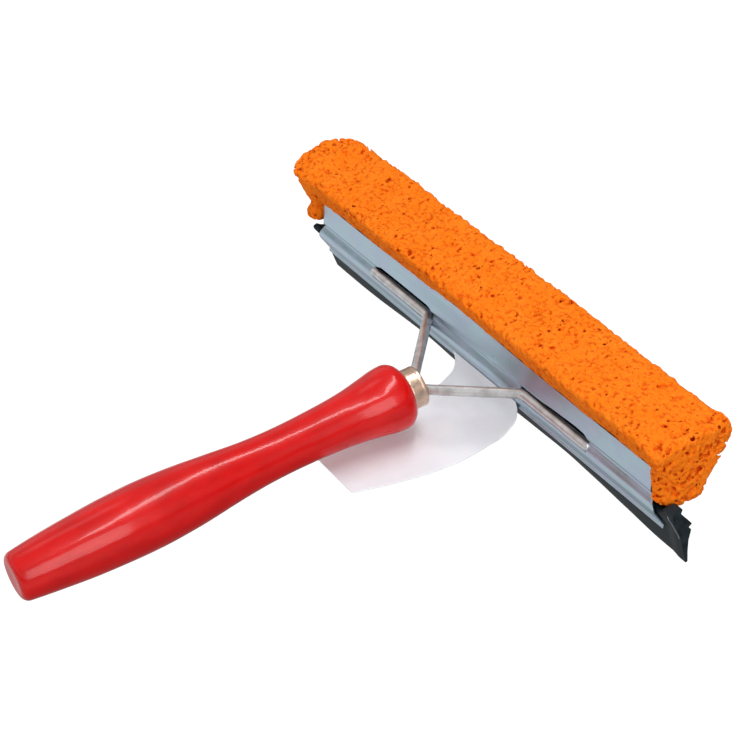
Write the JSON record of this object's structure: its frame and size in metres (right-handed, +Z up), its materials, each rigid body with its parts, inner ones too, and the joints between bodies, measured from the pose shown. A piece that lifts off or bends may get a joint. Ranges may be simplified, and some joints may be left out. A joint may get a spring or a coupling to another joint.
{
  "type": "window squeegee",
  "caption": "Hand squeegee with a turned wooden handle, a wire fork, a folded steel head, a rubber blade, a sponge strip and a card tag.",
  "frame": {"origin": "on the table, under the centre of the whole tool's bounding box", "axes": "+X along the head, +Y from the handle towards the head, +Z up, with the blade's edge and the handle's belly on the table"},
  "size_m": [0.2734, 0.2302, 0.0515],
  "materials": {
    "red_lacquer": "gloss lacquer over turned wood",
    "ferrule_metal": "worn nickel plate over brass",
    "plated_wire": "bright drawn wire, dull plating",
    "galvanised_sheet": "smooth galvanised sheet",
    "black_rubber": "matte",
    "orange_sponge": "open-pored foam",
    "white_card": "smooth matte card"
  },
  "bodies": {
    "frame": {"handle": "red_lacquer", "ferrule": "ferrule_metal", "fork_wire_left": "plated_wire", "fork_wire_right": "plated_wire", "front_plate": "galvanised_sheet", "sponge_channel": "galvanised_sheet", "rear_plate": "galvanised_sheet", "card_tag": "white_card"},
    "blade": {"rubber_blade": "black_rubber"},
    "sponge_strip": {"sponge": "orange_sponge"}
  },
  "joints": [
    {"name": "blade_slide", "type": "slide", "parent": "frame", "child": "blade", "axis": [1, 0, 0], "range_m": [0, 0.255]},
    {"name": "sponge_lift", "type": "slide", "parent": "frame", "child": "sponge_strip", "axis": [0, -0.045, 0.999], "range_m": [0, 0.03]}
  ]
}
